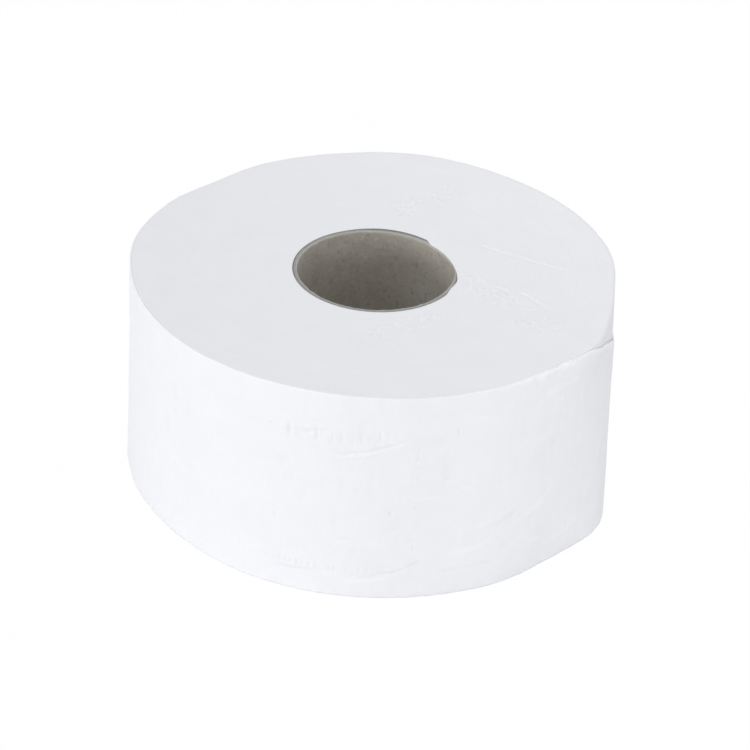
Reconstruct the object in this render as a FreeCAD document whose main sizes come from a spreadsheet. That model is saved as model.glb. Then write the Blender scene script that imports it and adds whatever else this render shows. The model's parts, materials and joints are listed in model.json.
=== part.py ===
import FreeCAD, Part
import math
import os
import Sketcher

# Toilet paper roll for a jumbo dispenser, standing on its end. A paperboard core
# carries one long two-ply web wound round it, and the last sheet hangs loose.
# Millimetres and degrees. The origin is on the core's axis in the lower end face,
# +Z points up along the core, and azimuth 0 is +X, turning towards +Y.

SIZES = {
    "web_width": (86.0, "paper web, from end face to end face"),
    "bore_diameter": (57.5, "inside of the paperboard core"),
    "core_wall": (1.25, "wound paperboard"),
    "core_clearance": (0.1, "between the core and the first turn of paper"),
    "winding_build": (60.2, "first turn to last turn, on the radius"),
    "oval_height": (0.6, "two-lobed out-of-round of the outside"),
    "oval_azimuth": (4.0, "where that lobe stands highest"),
    "trilobe_height": (1.0, "three-lobed out-of-round"),
    "trilobe_azimuth": (-45.0, "where that lobe stands highest"),
    "square_height": (0.6, "four-lobed out-of-round"),
    "square_azimuth": (-5.0, "where that lobe stands highest"),
    "seam_width": (0.8, "butt line of the core's inner ply"),
    "seam_depth": (0.3, "how deep the butt line lies in the bore wall"),
    "seam_lead": (120.0, "rise of the core's seam in one turn"),
    "seam_azimuth": (43.0, "where the seam meets the upper rim"),
    "lip_size": (0.6, "soft edge of the first turns at each end face"),
    "turn_marks": (5.0, "turns that the end faces show as a spiral"),
    "mark_width": (0.9, "spiral mark, across"),
    "mark_depth": (0.4, "spiral mark, into the end face"),
    "mark_margin": (3.5, "plain band inside and outside the spiral"),
    "sheet_thickness": (0.5, "loose two-ply sheet with its embossing"),
    "tail_slit": (0.3, "gap where the loose sheet leaves the roll"),
    "tail_lift": (2.4, "further gap where the loose sheet stands off"),
    "tail_root_azimuth": (312.0, "where the loose sheet leaves the roll"),
    "tail_rise_sweep": (40.0, "angle over which it lifts to that gap"),
    "tail_sweep": (70.0, "angle from its root to its free end"),
    "tear_azimuth": (325.0, "where the torn edge leaves the upper rim"),
    "tear_slope": (21.0, "torn edge's fall below the horizontal"),
}

FULL_TURN = 360.0
TURN_ARC = 15.0
TAIL_ARC = 10.0

# Radii that more than one piece is built from, as expressions on the sheet's cells.
BORE_RADIUS = "Sizes.bore_diameter / 2"
FIRST_TURN = f"({BORE_RADIUS} + Sizes.core_wall + Sizes.core_clearance)"
ALL_LOBES = "(Sizes.oval_height + Sizes.trilobe_height + Sizes.square_height)"
MARK_START = f"({FIRST_TURN} + Sizes.mark_margin)"
MARK_END = f"({FIRST_TURN} + Sizes.winding_build - {ALL_LOBES} - Sizes.mark_margin)"


def make_sheet(doc):
    """Driving dimensions, one row each: name, value and what it measures."""
    sheet = doc.addObject("Spreadsheet::Sheet", "Sizes")
    for row, (name, (value, meaning)) in enumerate(SIZES.items(), start=1):
        sheet.set(f"A{row}", name)
        sheet.set(f"B{row}", str(value))
        sheet.set(f"C{row}", meaning)
        sheet.setAlias(f"B{row}", name)
    doc.recompute()
    return sheet


def origin_plane(body, role):
    """One of a body's own origin planes."""
    return next(item for item in body.Origin.OriginFeatures if item.Role == role)


def bound_polygon(sketch, corners):
    """Closed polygon whose corners are pairs of expressions, for x and for height."""
    count = len(corners)
    spread = [FreeCAD.Vector(math.cos(2 * math.pi * i / count), math.sin(2 * math.pi * i / count), 0)
              for i in range(count)]
    for side in range(count):
        sketch.addGeometry(Part.LineSegment(spread[side], spread[(side + 1) % count]))
    for side, place in enumerate(corners):
        sketch.addConstraint(Sketcher.Constraint("Coincident", side, 2, (side + 1) % count, 1))
        for kind, expression in zip(("DistanceX", "DistanceY"), place):
            index = sketch.addConstraint(Sketcher.Constraint(kind, -1, 1, side, 1, 1.0))
            sketch.setExpression(f"Constraints[{index}]", expression)


def rectangle(low_x, high_x, low_z, high_z):
    """Corners of an upright rectangle, in order round it."""
    return [(low_x, low_z), (high_x, low_z), (high_x, high_z), (low_x, high_z)]


# Core: a paperboard tube, spiral wound from plies and cut flush with the paper.
# The butt line of its inner ply runs up the bore as a shallow helix and notches
# the upper rim where it leaves.
def make_core(doc):
    body = doc.addObject("PartDesign::Body", "CoreTube")
    body.Label = "core_tube"

    section = body.newObject("Sketcher::SketchObject", "CoreSection")
    section.AttachmentSupport = [(origin_plane(body, "XZ_Plane"), "")]
    section.MapMode = "FlatFace"
    outside = f"{BORE_RADIUS} + Sizes.core_wall"
    bound_polygon(section, rectangle(BORE_RADIUS, outside, "0", "Sizes.web_width"))

    tube = body.newObject("PartDesign::Revolution", "Tube")
    tube.Profile = section
    tube.ReferenceAxis = (section, ["V_Axis"])
    tube.Angle = FULL_TURN
    doc.recompute()

    # The helix starts below the lower end face, a whole number of turns under the
    # place where the seam meets the upper rim.
    part_turn = "Sizes.seam_azimuth / 360"
    whole_turns = f"ceil((Sizes.web_width + Sizes.seam_width) / Sizes.seam_lead - {part_turn})"
    seam_start = f"(Sizes.web_width - Sizes.seam_lead * ({part_turn} + {whole_turns}))"
    groove = body.newObject("Sketcher::SketchObject", "SeamSection")
    groove.AttachmentSupport = [(origin_plane(body, "XZ_Plane"), "")]
    groove.MapMode = "FlatFace"
    bound_polygon(groove, rectangle(
        f"{BORE_RADIUS} - Sizes.seam_depth",
        f"{BORE_RADIUS} + Sizes.seam_depth",
        f"{seam_start} - Sizes.seam_width / 2",
        f"{seam_start} + Sizes.seam_width / 2",
    ))

    seam = body.newObject("PartDesign::SubtractiveHelix", "Seam")
    seam.Profile = groove
    seam.ReferenceAxis = (groove, ["V_Axis"])
    seam.Mode = "pitch-height-angle"
    seam.setExpression("Pitch", "Sizes.seam_lead")
    seam.setExpression("Height", f"Sizes.web_width + 2 * Sizes.seam_width - {seam_start}")
    seam.Angle = 0
    body.Tip = seam
    return body


class Outline:
    """Plan outlines of the paper, as radius against azimuth."""

    def __init__(self, sheet):
        self.sheet = sheet
        self.mean = sheet.bore_diameter / 2 + sheet.core_wall + sheet.core_clearance + sheet.winding_build
        self.root = sheet.tail_root_azimuth
        self.end = self.root + sheet.tail_sweep
        self.step = sheet.tail_slit + sheet.sheet_thickness

    def wound(self, azimuth):
        """Mean radius plus a two-, a three- and a four-lobed wave."""
        sheet = self.sheet
        lobes = (
            (2, sheet.oval_height, sheet.oval_azimuth),
            (3, sheet.trilobe_height, sheet.trilobe_azimuth),
            (4, sheet.square_height, sheet.square_azimuth),
        )
        waves = (height * math.cos(math.radians(count * (azimuth - peak))) for count, height, peak in lobes)
        return self.mean + sum(waves)

    def last_turn(self, azimuth):
        """Wound outline that grows by one loose sheet on its way to the tail's root."""
        grown = (azimuth - self.end + FULL_TURN) / (FULL_TURN - self.sheet.tail_sweep)
        return self.wound(azimuth) + self.step * grown

    def tail_inside(self, azimuth):
        """Inner face of the loose sheet, which lifts in a smooth step and then holds."""
        along = min((azimuth - self.root) / self.sheet.tail_rise_sweep, 1.0)
        lifted = along * along * (3 - 2 * along)
        return self.wound(azimuth) + self.sheet.tail_slit + self.sheet.tail_lift * lifted

    def tail_outside(self, azimuth):
        """Outer face of the loose sheet."""
        return self.tail_inside(azimuth) + self.sheet.sheet_thickness


def at(radius, azimuth, height=0.0):
    """Point at a radius and an azimuth."""
    turn = math.radians(azimuth)
    return FreeCAD.Vector(radius * math.cos(turn), radius * math.sin(turn), height)


def arcs_along(radius_at, start, end, longest):
    """Arcs end to end along a radius function, none over a given angle."""
    count = math.ceil(abs(end - start) / longest)
    points = []
    for half in range(2 * count + 1):
        azimuth = start + (end - start) * half / (2 * count)
        points.append(at(radius_at(azimuth), azimuth))
    return [Part.Arc(*points[i:i + 3]).toShape() for i in range(0, 2 * count, 2)]


def extrude_over_web(doc, name, edges):
    """Solid inside a closed run of plan edges, as tall as the web is wide."""
    plan = doc.addObject("Part::Feature", f"{name}Plan")
    plan.Shape = Part.Face(Part.Wire(edges))
    solid = doc.addObject("Part::Extrusion", name)
    solid.Base = plan
    solid.DirMode = "Custom"
    solid.Dir = FreeCAD.Vector(0, 0, 1)
    solid.Solid = True
    solid.setExpression("LengthFwd", "Sizes.web_width")
    return solid


# Wound turns: slightly out of round, because a soft roll is squeezed in its pack.
# The outline steps by one sheet where the loose one leaves it.
def make_turns(doc, outline):
    last = arcs_along(outline.last_turn, outline.end - FULL_TURN, outline.root, TURN_ARC)
    under_tail = arcs_along(outline.wound, outline.root, outline.end, TAIL_ARC)
    step_top = at(outline.last_turn(outline.root), outline.root)
    step_foot = at(outline.wound(outline.root), outline.root)
    step = Part.LineSegment(step_top, step_foot).toShape()
    return extrude_over_web(doc, "Turns", [*last, step, *under_tail])


# Loose sheet: the web's torn end. It leaves the roll at its root and stands off,
# and its upper corner is torn away on a slant.
def make_tail(doc, sheet, outline):
    inside = arcs_along(outline.tail_inside, outline.root, outline.end, TAIL_ARC)
    outside = arcs_along(outline.tail_outside, outline.end, outline.root, TAIL_ARC)
    inner_end = at(outline.tail_inside(outline.end), outline.end)
    outer_end = at(outline.tail_outside(outline.end), outline.end)
    inner_root = at(outline.tail_inside(outline.root), outline.root)
    outer_root = at(outline.tail_outside(outline.root), outline.root)
    free_edge = Part.LineSegment(inner_end, outer_end).toShape()
    root_edge = Part.LineSegment(outer_root, inner_root).toShape()
    whole = extrude_over_web(doc, "WholeTail", [*inside, free_edge, *outside, root_edge])

    # The torn-off corner is cleared by a block whose lower face follows the tear.
    # It starts on the rim at the tear's azimuth and reaches well past the paper.
    reach = 2 * outline.mean + sheet.web_width
    corner = doc.addObject("Part::Box", "TornCorner")
    corner.Length = 2 * reach
    corner.Width = 2 * reach
    corner.Height = reach
    facing = FreeCAD.Rotation(FreeCAD.Vector(0, 0, 1), sheet.tear_azimuth)
    slanting = FreeCAD.Rotation(FreeCAD.Vector(1, 0, 0), -sheet.tear_slope)
    start = at(outline.wound(sheet.tear_azimuth), sheet.tear_azimuth, sheet.web_width)
    behind_axis = facing.multVec(FreeCAD.Vector(-reach, 0, 0))
    corner.Placement = FreeCAD.Placement(start + behind_axis, facing * slanting)

    torn = doc.addObject("Part::Cut", "Tail")
    torn.Base = whole
    torn.Tool = corner
    return torn


# Bore of the winding, a clearance wider than the core, with the soft edge that the
# first turns have at each end face.
def make_winding_bore(doc):
    bore = doc.addObject("Part::Cylinder", "WindingBore")
    bore.setExpression("Radius", FIRST_TURN)
    bore.setExpression("Height", "Sizes.web_width")

    upper_lip = doc.addObject("Part::Cone", "UpperLip")
    upper_lip.setExpression("Radius1", FIRST_TURN)
    upper_lip.setExpression("Radius2", f"{FIRST_TURN} + Sizes.lip_size")
    upper_lip.setExpression("Height", "Sizes.lip_size")
    upper_lip.setExpression("Placement.Base.z", "Sizes.web_width - Sizes.lip_size")

    lower_lip = doc.addObject("Part::Cone", "LowerLip")
    lower_lip.setExpression("Radius1", f"{FIRST_TURN} + Sizes.lip_size")
    lower_lip.setExpression("Radius2", FIRST_TURN)
    lower_lip.setExpression("Height", "Sizes.lip_size")
    return [bore, upper_lip, lower_lip]


# Turns seen on the end faces: one spiral mark on each, from near the core to near
# the outside, because hundreds of turns lie too close to tell apart.
def make_turn_marks(doc):
    path = doc.addObject("Part::Spiral", "MarkPath")
    path.setExpression("Radius", MARK_START)
    path.setExpression("Growth", f"({MARK_END} - {MARK_START}) / Sizes.turn_marks")
    path.setExpression("Rotations", "Sizes.turn_marks")
    path.setExpression("Placement.Base.z", "Sizes.web_width")

    # A V whose sides meet at the mark's depth and cross the end face a mark's
    # width apart.
    section = doc.addObject("Sketcher::SketchObject", "MarkSection")
    upright = FreeCAD.Rotation(FreeCAD.Vector(1, 0, 0), FULL_TURN / 4)
    section.Placement = FreeCAD.Placement(FreeCAD.Vector(), upright)
    above_face = "Sizes.web_width + Sizes.mark_depth"
    bound_polygon(section, [
        (f"{MARK_START} - Sizes.mark_width", above_face),
        (MARK_START, "Sizes.web_width - Sizes.mark_depth"),
        (f"{MARK_START} + Sizes.mark_width", above_face),
    ])

    upper = doc.addObject("Part::Sweep", "UpperMark")
    upper.Sections = [section]
    upper.Spine = (path, [])
    upper.Solid = True
    upper.Frenet = True

    lower = doc.addObject("Part::Mirroring", "LowerMark")
    lower.Source = upper
    lower.Normal = FreeCAD.Vector(0, 0, 1)
    lower.setExpression("Base.z", "Sizes.web_width / 2")
    return [upper, lower]


def make_winding(doc, sheet):
    outline = Outline(sheet)
    paper = doc.addObject("Part::Fuse", "Paper")
    paper.Base = make_turns(doc, outline)
    paper.Tool = make_tail(doc, sheet, outline)

    hollow = doc.addObject("Part::MultiFuse", "Hollow")
    hollow.Shapes = make_winding_bore(doc)
    bored = doc.addObject("Part::Cut", "BoredPaper")
    bored.Base = paper
    bored.Tool = hollow

    marks = doc.addObject("Part::Compound", "TurnMarks")
    marks.Links = make_turn_marks(doc)
    winding = doc.addObject("Part::Cut", "PaperWinding")
    winding.Label = "paper_winding"
    winding.Base = bored
    winding.Tool = marks
    return winding


def check(doc, nodes):
    """Stop before anything is written if an object failed or a solid is not sound."""
    for item in doc.Objects:
        if {"Invalid", "Error"} & set(item.State):
            raise RuntimeError(f"{item.Name} did not build: {item.State}")
    for node in nodes:
        shape = node.Shape
        if shape.isNull() or not shape.isValid() or len(shape.Solids) != 1:
            raise RuntimeError(f"{node.Label} is not one sound solid")


def main():
    os.makedirs("parts", exist_ok=True)
    doc = FreeCAD.newDocument("ToiletPaperRoll")
    sheet = make_sheet(doc)
    nodes = [make_core(doc), make_winding(doc, sheet)]
    doc.recompute()
    check(doc, nodes)
    for node in nodes:
        node.Shape.exportStep(f"parts/{node.Label}.step")
        print(f"{node.Label}: {node.Shape.Volume:.1f} mm3, {len(node.Shape.Faces)} faces")


main()
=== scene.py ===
# %% [markdown]
# A jumbo roll of toilet paper stands on its end, on a white table. It is two
# things: a tube of recycled paperboard, and one long web of tissue wound round it.
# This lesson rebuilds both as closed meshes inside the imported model's frame, gives
# them their finishes, and lights them as plain daylight in a studio would.

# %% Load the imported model
import json
import math

import bpy
import numpy as np
from mathutils import Matrix, Vector


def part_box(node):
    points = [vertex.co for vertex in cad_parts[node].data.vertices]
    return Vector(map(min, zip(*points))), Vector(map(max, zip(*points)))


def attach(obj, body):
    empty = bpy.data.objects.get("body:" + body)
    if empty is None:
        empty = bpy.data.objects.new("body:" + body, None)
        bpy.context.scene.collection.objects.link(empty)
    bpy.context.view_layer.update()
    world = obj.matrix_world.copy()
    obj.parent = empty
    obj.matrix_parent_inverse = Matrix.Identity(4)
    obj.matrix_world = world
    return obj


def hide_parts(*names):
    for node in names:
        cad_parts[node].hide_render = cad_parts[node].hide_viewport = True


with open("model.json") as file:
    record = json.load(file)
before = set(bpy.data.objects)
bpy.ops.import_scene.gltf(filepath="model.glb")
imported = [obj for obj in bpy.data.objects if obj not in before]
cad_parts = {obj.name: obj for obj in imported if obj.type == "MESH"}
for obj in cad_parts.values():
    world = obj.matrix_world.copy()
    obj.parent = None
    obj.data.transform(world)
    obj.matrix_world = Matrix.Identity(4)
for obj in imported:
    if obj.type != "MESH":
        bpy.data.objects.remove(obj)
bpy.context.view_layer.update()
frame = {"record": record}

# %% [markdown]
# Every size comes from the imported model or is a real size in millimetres. The web's
# width is the height of the roll, and the core's outside is where the paper starts.
# Azimuth 0 is +X. It turns towards +Y, so 270 degrees faces the camera.

# %% Sizes from the frame
MM = 0.001
CORE_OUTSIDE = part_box("core_tube")[1].x
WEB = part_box("paper_winding")[1].z
CORE_BORE = frame["record"]["mounts"][0]["dims"]["r_mm"] * MM
PAPER_BUILD = 60.34 * MM
PAPER_OUTSIDE = CORE_OUTSIDE + PAPER_BUILD
print(f"web {WEB / MM:.1f} mm, core {CORE_OUTSIDE / MM:.2f} mm, paper {PAPER_OUTSIDE / MM:.2f} mm")

# %% [markdown]
# A soft roll is never quite round. It is squeezed in its pack, so its outline has
# flats and bulges. One flat or bulge is a smooth hump over the azimuth: a cosine
# squared that is 1 in its middle and 0 at its half width. The upper rim and the
# lower rim have humps of their own, and the side runs straight between them. A few
# humps belong to the upper rim alone and die away a little below it.

# %% Flats and bulges of the outline
def hump(azimuth, middle, half_width):
    """Cosine squared of the angle from the middle, 0 beyond the half width."""
    away = (azimuth - middle + 180) % 360 - 180
    return np.cos(np.clip(away / half_width, -1, 1) * np.pi / 2) ** 2


def ramp(value):
    """Smooth step: 0 below 0, 1 above 1, and three squares less two cubes between."""
    inside = np.clip(value, 0, 1)
    return inside * inside * (3 - 2 * inside)


# Each row: middle and half width in degrees, height in millimetres.
ALL_OVER = (
    (78, 26, 1.2),
    (120, 40, -1.3),
    (136, 16, -1.9),
    (169, 20, 1.1),
    (38, 24, -0.2),
    (358, 28, -1.2),
)
UPPER_RIM = ((186, 30, 0.6), (252, 36, -0.9), (300, 14, 0.5), (327, 32, 0.9))
LOWER_RIM = ((216, 39, -2.6), (250, 40, -0.8), (303, 16, 0.8))
# The first of these stands out beside the tear.
RIM_ONLY = ((331, 15, 1.8), (357, 12, -0.45), (14, 14, 0.4))
RIM_ONLY_REACH = 16 * MM


def sum_of_humps(azimuth, rows):
    """All the humps of a list added up, in metres."""
    return sum(height * MM * hump(azimuth, middle, width) for middle, width, height in rows)


def wound_radius(azimuth, height):
    """Mean radius, plus the common humps, both rims' by share of height, and the upper rim's own."""
    share = np.clip(height / WEB, 0, 1)
    rims = (1 - share) * sum_of_humps(azimuth, LOWER_RIM) + share * sum_of_humps(azimuth, UPPER_RIM)
    rims = rims + sum_of_humps(azimuth, RIM_ONLY) * ramp(1 - (WEB - height) / RIM_ONLY_REACH)
    return PAPER_OUTSIDE + sum_of_humps(azimuth, ALL_OVER) + rims


rim = wound_radius(np.arange(360), WEB)
print(f"upper rim from {rim.min() / MM:.2f} to {rim.max() / MM:.2f} mm")

# %% [markdown]
# Soft unevenness is needed all over: in the rims, the end faces and the sheet. It
# could come from a texture, but the shape has to be in the mesh, so it is a small
# lattice of seeded random numbers with smooth steps between them. Where one direction
# counts, the other is a fixed row of the lattice. A number added to a place, or put
# as a factor on a count of teeth or holes, only picks other parts of it.

# %% Seeded unevenness
LATTICE = 257


def lattice_noise(across, along, seed):
    """Random numbers on a grid of whole numbers, blended by smooth steps, from -1 to 1."""
    across, along = np.broadcast_arrays(np.asarray(across, float), np.asarray(along, float))
    cells = np.random.default_rng(seed).uniform(-1, 1, (LATTICE, LATTICE))
    column, row = np.floor(across).astype(int), np.floor(along).astype(int)
    part_x, part_y = ramp(across - column), ramp(along - row)
    corner = [[cells[(column + i) % LATTICE, (row + j) % LATTICE] for j in (0, 1)] for i in (0, 1)]
    near = corner[0][0] * (1 - part_y) + corner[0][1] * part_y
    far = corner[1][0] * (1 - part_y) + corner[1][1] * part_y
    return near * (1 - part_x) + far * part_x


# %% [markdown]
# Each piece is a closed section carried round the core's axis. The section is a
# loop of rows, each with a radius and a height at every azimuth, so the whole
# surface is two arrays. A tube closes on itself after one turn, and a sheet that
# stops has its two ends capped by one face each.

# %% Sections carried round the axis
def plan(azimuth, radius):
    """x and y: the radius times the azimuth's cosine and its sine."""
    turn = np.radians(azimuth)
    return radius * np.cos(turn), radius * np.sin(turn)


def show(name, data):
    """A new object with its data, in the scene."""
    shown = bpy.data.objects.new(name, data)
    bpy.context.scene.collection.objects.link(shown)
    return shown


def carry_round(name, azimuth, radius, height, capped=False):
    """Closed mesh of a looped section, with one face for each step of row and column."""
    points = np.stack([*plan(azimuth, radius), height], axis=-1)
    rows, columns = radius.shape
    index = np.arange(rows * columns).reshape(rows, columns)
    onward = index if capped else np.append(index, index[:, :1], axis=1)
    here, above = onward, np.roll(onward, -1, axis=0)
    quads = np.stack([here[:, :-1], here[:, 1:], above[:, 1:], above[:, :-1]], axis=-1).reshape(-1, 4)
    faces = quads.tolist()
    if capped:
        faces += [index[:, 0].tolist(), index[::-1, -1].tolist()]
    mesh = bpy.data.meshes.new(name)
    mesh.from_pydata(points.reshape(-1, 3).tolist(), [], faces)
    piece = show(name, mesh)
    face_outwards(mesh, quads, points.reshape(-1, 3))
    mesh.polygons.foreach_set("use_smooth", np.ones(len(mesh.polygons), bool))
    mesh.update()
    print(f"{name}: {len(mesh.vertices)} points, {2 * len(quads)} triangles")
    return piece


def face_outwards(mesh, quads, points):
    """Turn the faces over where the volume, the sum of the corners' triple products, is negative."""
    a, b, c, d = (points[quads[:, corner]] for corner in range(4))
    volume = np.einsum("ij,ij->", a, np.cross(b, c)) + np.einsum("ij,ij->", a, np.cross(c, d))
    if volume < 0:
        mesh.flip_normals()


def keep(piece, name, values):
    """Store one number at each point of a piece, for its finish to read."""
    layer = piece.data.attributes.new(name, "FLOAT", "POINT")
    layer.data.foreach_set("value", np.asarray(values, np.float32).ravel())


def loop_of(*runs):
    """Runs of section rows one after the other, as one array."""
    return np.concatenate([np.atleast_2d(run) for run in runs], axis=0)


def spread(count, first, last):
    """Evenly spaced column of numbers, one for each row of a run."""
    return np.linspace(first, last, count)[:, None]


# %% [markdown]
# The hole isn't a true circle. Its rim is worn wider at the left, and at the right the
# core's wall is pressed in, further and further round, until it springs back where a
# ply ends. Over the pressed rim the outer plies are gone, and the first turns of the
# paper are squeezed in over it. Core and paper share these three offsets.

# %% Offsets of the hole
RIM_REACH, DENT_REACH, SQUEEZE_REACH = 30 * MM, 34 * MM, 8 * MM
DENT_DEPTH, SQUEEZE_DEPTH, PINCH_DEPTH = 0.6 * MM, 1.25 * MM, 0.65 * MM
NOTCH_AZIMUTH, NOTCH_WIDTH = 45, 9.5
SQUEEZE_START, SQUEEZE_SPAN = -14, 30
PINCH_AZIMUTH, PINCH_HALF_WIDTH = 339, 12
WORN_MEAN, WORN_ONCE, WORN_TWICE = 0.20 * MM, 0.35 * MM, 0.15 * MM


def signed(azimuth):
    """The azimuth from -180 to 180."""
    return (azimuth + 180) % 360 - 180


def before_notch(azimuth):
    """1 up to the notch, falling to 0 across it."""
    return 1 - ramp((signed(azimuth) - NOTCH_AZIMUTH) / NOTCH_WIDTH)


def near_rim(height, reach):
    """1 at the rim, falling to 0 at the reach below it."""
    return ramp(1 - (WEB - height) / reach)


def worn(azimuth, height):
    """Widening: a mean, less a cosine of the azimuth, plus a smaller cosine of its double."""
    turn = np.radians(azimuth)
    widening = WORN_MEAN - WORN_ONCE * np.cos(turn) + WORN_TWICE * np.cos(2 * turn)
    return widening * near_rim(height, RIM_REACH)


def dent(azimuth, height):
    """Depth times a long ramp up to the notch."""
    inwards = ramp(signed(azimuth) / NOTCH_AZIMUTH) * before_notch(azimuth)
    return DENT_DEPTH * inwards * near_rim(height, DENT_REACH)


def squeeze(azimuth, height):
    """How far the paper comes in: a ramp up to the notch, and a pinch of its own before it."""
    inwards = SQUEEZE_DEPTH * ramp((signed(azimuth) - SQUEEZE_START) / SQUEEZE_SPAN) * before_notch(azimuth)
    pinch = PINCH_DEPTH * hump(azimuth, PINCH_AZIMUTH, PINCH_HALF_WIDTH)
    return (inwards + pinch) * near_rim(height, SQUEEZE_REACH)


for place in (PINCH_AZIMUTH, 0, NOTCH_AZIMUTH, 180):
    inwards = dent(place, WEB) + squeeze(place, WEB) - worn(place, WEB)
    print(f"azimuth {place}: paper {inwards / MM:.2f} mm further in")

# %% [markdown]
# The core is a spiral-wound tube. Its inner ply leaves a butt line that climbs the
# bore as a helix, its cut rim is a little ragged, and the wall shows faint waves from
# the winding. A lathe modifier would make a perfect tube, so the wall is a grid that
# takes all of these as they come.

# %% The core tube
SEAM_LEAD = 120 * MM
SEAM_AZIMUTH = 43
SEAM_DEPTH = 0.28 * MM
SEAM_HALF_WIDTH = 0.55 * MM
RIM_ROUND = 0.12 * MM
WORN_FLARE = 0.18 * MM
PEELED = 0.75
INNER_PEEL, INNER_PEEL_REACH = 0.55 * MM, 7 * MM
INNER_PEEL_AZIMUTH, INNER_PEEL_HALF_WIDTH = 4, 30
# Where the bore is painted paler as light: azimuth, half width, share at the rim, depth to the full amount.
PAINTED_LIGHT_AZIMUTH, PAINTED_LIGHT_HALF_WIDTH = 38, 55
PAINTED_LIGHT_AT_RIM, PAINTED_LIGHT_DEPTH = 0.35, 24 * MM
WAVES, WAVES_AROUND, WAVES_UP = 0.06 * MM, 6, 9 * MM
RAGGED, RAGGED_AROUND = 0.12 * MM, 3
CORE_SET_BACK, CORE_FOOT = 0.45 * MM, 0.1 * MM
CORE_COLUMNS, BORE_ROWS, BORE_ROWS_TO_ONE_OUTSIDE = 720, 96, 8
CORNER_ROWS = 4


def seam_dent(azimuth, height):
    """A groove where the height is near the helix through the rim at the seam's azimuth."""
    climb = (azimuth - SEAM_AZIMUTH) / 360 * SEAM_LEAD
    beside = (height - WEB - climb + SEAM_LEAD / 2) % SEAM_LEAD - SEAM_LEAD / 2
    return SEAM_DEPTH * np.exp(-((beside / SEAM_HALF_WIDTH) ** 2))


def board_outside(azimuth, height):
    """Outside of the board, less most of its wall where the outer plies are gone."""
    return CORE_OUTSIDE + WORN_FLARE * near_rim(height, RIM_REACH) - PEELED * squeeze(azimuth, height)


def board_inside(azimuth, height):
    """The bore with its butt line and faint waves, less the inner ply where it has come away."""
    waves = WAVES * lattice_noise(azimuth / WAVES_AROUND, height / WAVES_UP, seed=6)
    gone = hump(azimuth, INNER_PEEL_AZIMUTH, INNER_PEEL_HALF_WIDTH) * near_rim(height, INNER_PEEL_REACH)
    return CORE_BORE + seam_dent(azimuth, height) + waves + INNER_PEEL * gone


def make_core():
    """Section loop: up the bore, over the rounded rim, down the outside, and back."""
    azimuth = np.linspace(0, 360, CORE_COLUMNS, endpoint=False)[None, :]
    top = WEB - CORE_SET_BACK + RAGGED * lattice_noise(azimuth / RAGGED_AROUND, 0, seed=5)
    foot = CORE_FOOT + 0 * azimuth
    quarter = spread(CORNER_ROWS, 0, np.pi / 2)
    up = foot + RIM_ROUND + spread(BORE_ROWS, 0, 1) * (top - foot - 2 * RIM_ROUND)
    inner = board_inside(azimuth, up)
    down = up[::-BORE_ROWS_TO_ONE_OUTSIDE]
    outer = board_outside(azimuth, down)
    sine, cosine = RIM_ROUND * np.sin(quarter), RIM_ROUND * np.cos(quarter)
    radius = loop_of(
        inner,
        inner[-1:] + RIM_ROUND - cosine,
        outer[:1] - RIM_ROUND + sine,
        outer,
        outer[-1:] - RIM_ROUND + cosine,
        inner[:1] + RIM_ROUND - sine,
    )
    height = loop_of(
        up,
        top - RIM_ROUND + sine,
        top - RIM_ROUND + cosine,
        down,
        foot + RIM_ROUND - sine,
        foot + RIM_ROUND - cosine,
    )
    radius = radius + worn(azimuth, height) - dent(azimuth, height)
    piece = carry_round("core_board_tube", azimuth, radius, height)
    keep(piece, "peeled", np.clip(squeeze(azimuth, height) / SQUEEZE_DEPTH, 0, 1))
    # Painted light in the bore at the right, paler further down.
    deep = PAINTED_LIGHT_AT_RIM + (1 - PAINTED_LIGHT_AT_RIM) * ramp((WEB - height) / PAINTED_LIGHT_DEPTH)
    keep(piece, "painted_light", hump(azimuth, PAINTED_LIGHT_AZIMUTH, PAINTED_LIGHT_HALF_WIDTH) * deep)
    row = np.arange(len(radius))[:, None]
    outside = (row >= len(up) + len(quarter)) & (row < len(radius) - len(quarter))
    keep(piece, "across", outside + 0 * height)
    return piece


core = make_core()

# %% [markdown]
# Wound turns come next. The end face of a roll shows its turns as a fine spiral.
# The web doesn't track perfectly, so each stretch of it stands a hair higher or
# lower than its neighbours. The level depends on how many turns have been wound at
# that point: the whole turns counted inwards along the radius, plus the azimuth's
# share of a turn. That makes a true spiral with no seam. In three bands the cut has
# torn the turns' edges, which leaves fine pits and tufts.

# %% Relief of the end faces
# Each row: a rough band of the upper end face from one x, y to another, and its half
# width, in millimetres.
ROUGH_BANDS = ((8, 45, 25, 62, 9), (35, -6, 64, -34, 11), (-3, -50, 21, -33, 8))
BAND_PLATEAU = 1.2
PATCH_X, PATCH_Y, PATCH_MEAN, PATCH_CONTRAST = 4.2 * MM, 3.6 * MM, 0.62, 1.2
ROUGHNESS, PIT_X, PIT_Y = 0.2 * MM, 1.5 * MM, 1.9 * MM
TURN_PITCH = 3.1 * MM
TURN_RELIEF = 0.045 * MM
LEVELS_PER_TURN, DRIFTS_PER_TURN, DRIFT = 3.0, 0.7, 0.5
FACE_RELIEF, FACE_BLOB = 0.12 * MM, 21 * MM
RIM_MARGIN = 5 * MM


def turn_level(azimuth, radius, seed):
    """Random level of the turn that passes through a point, smooth along the web."""
    share = azimuth / 360
    turns = np.floor(radius / TURN_PITCH - share) + share
    levels = lattice_noise(turns * LEVELS_PER_TURN, 0.5, seed)
    return levels + DRIFT * lattice_noise(turns * DRIFTS_PER_TURN, 7.5, seed)


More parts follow.
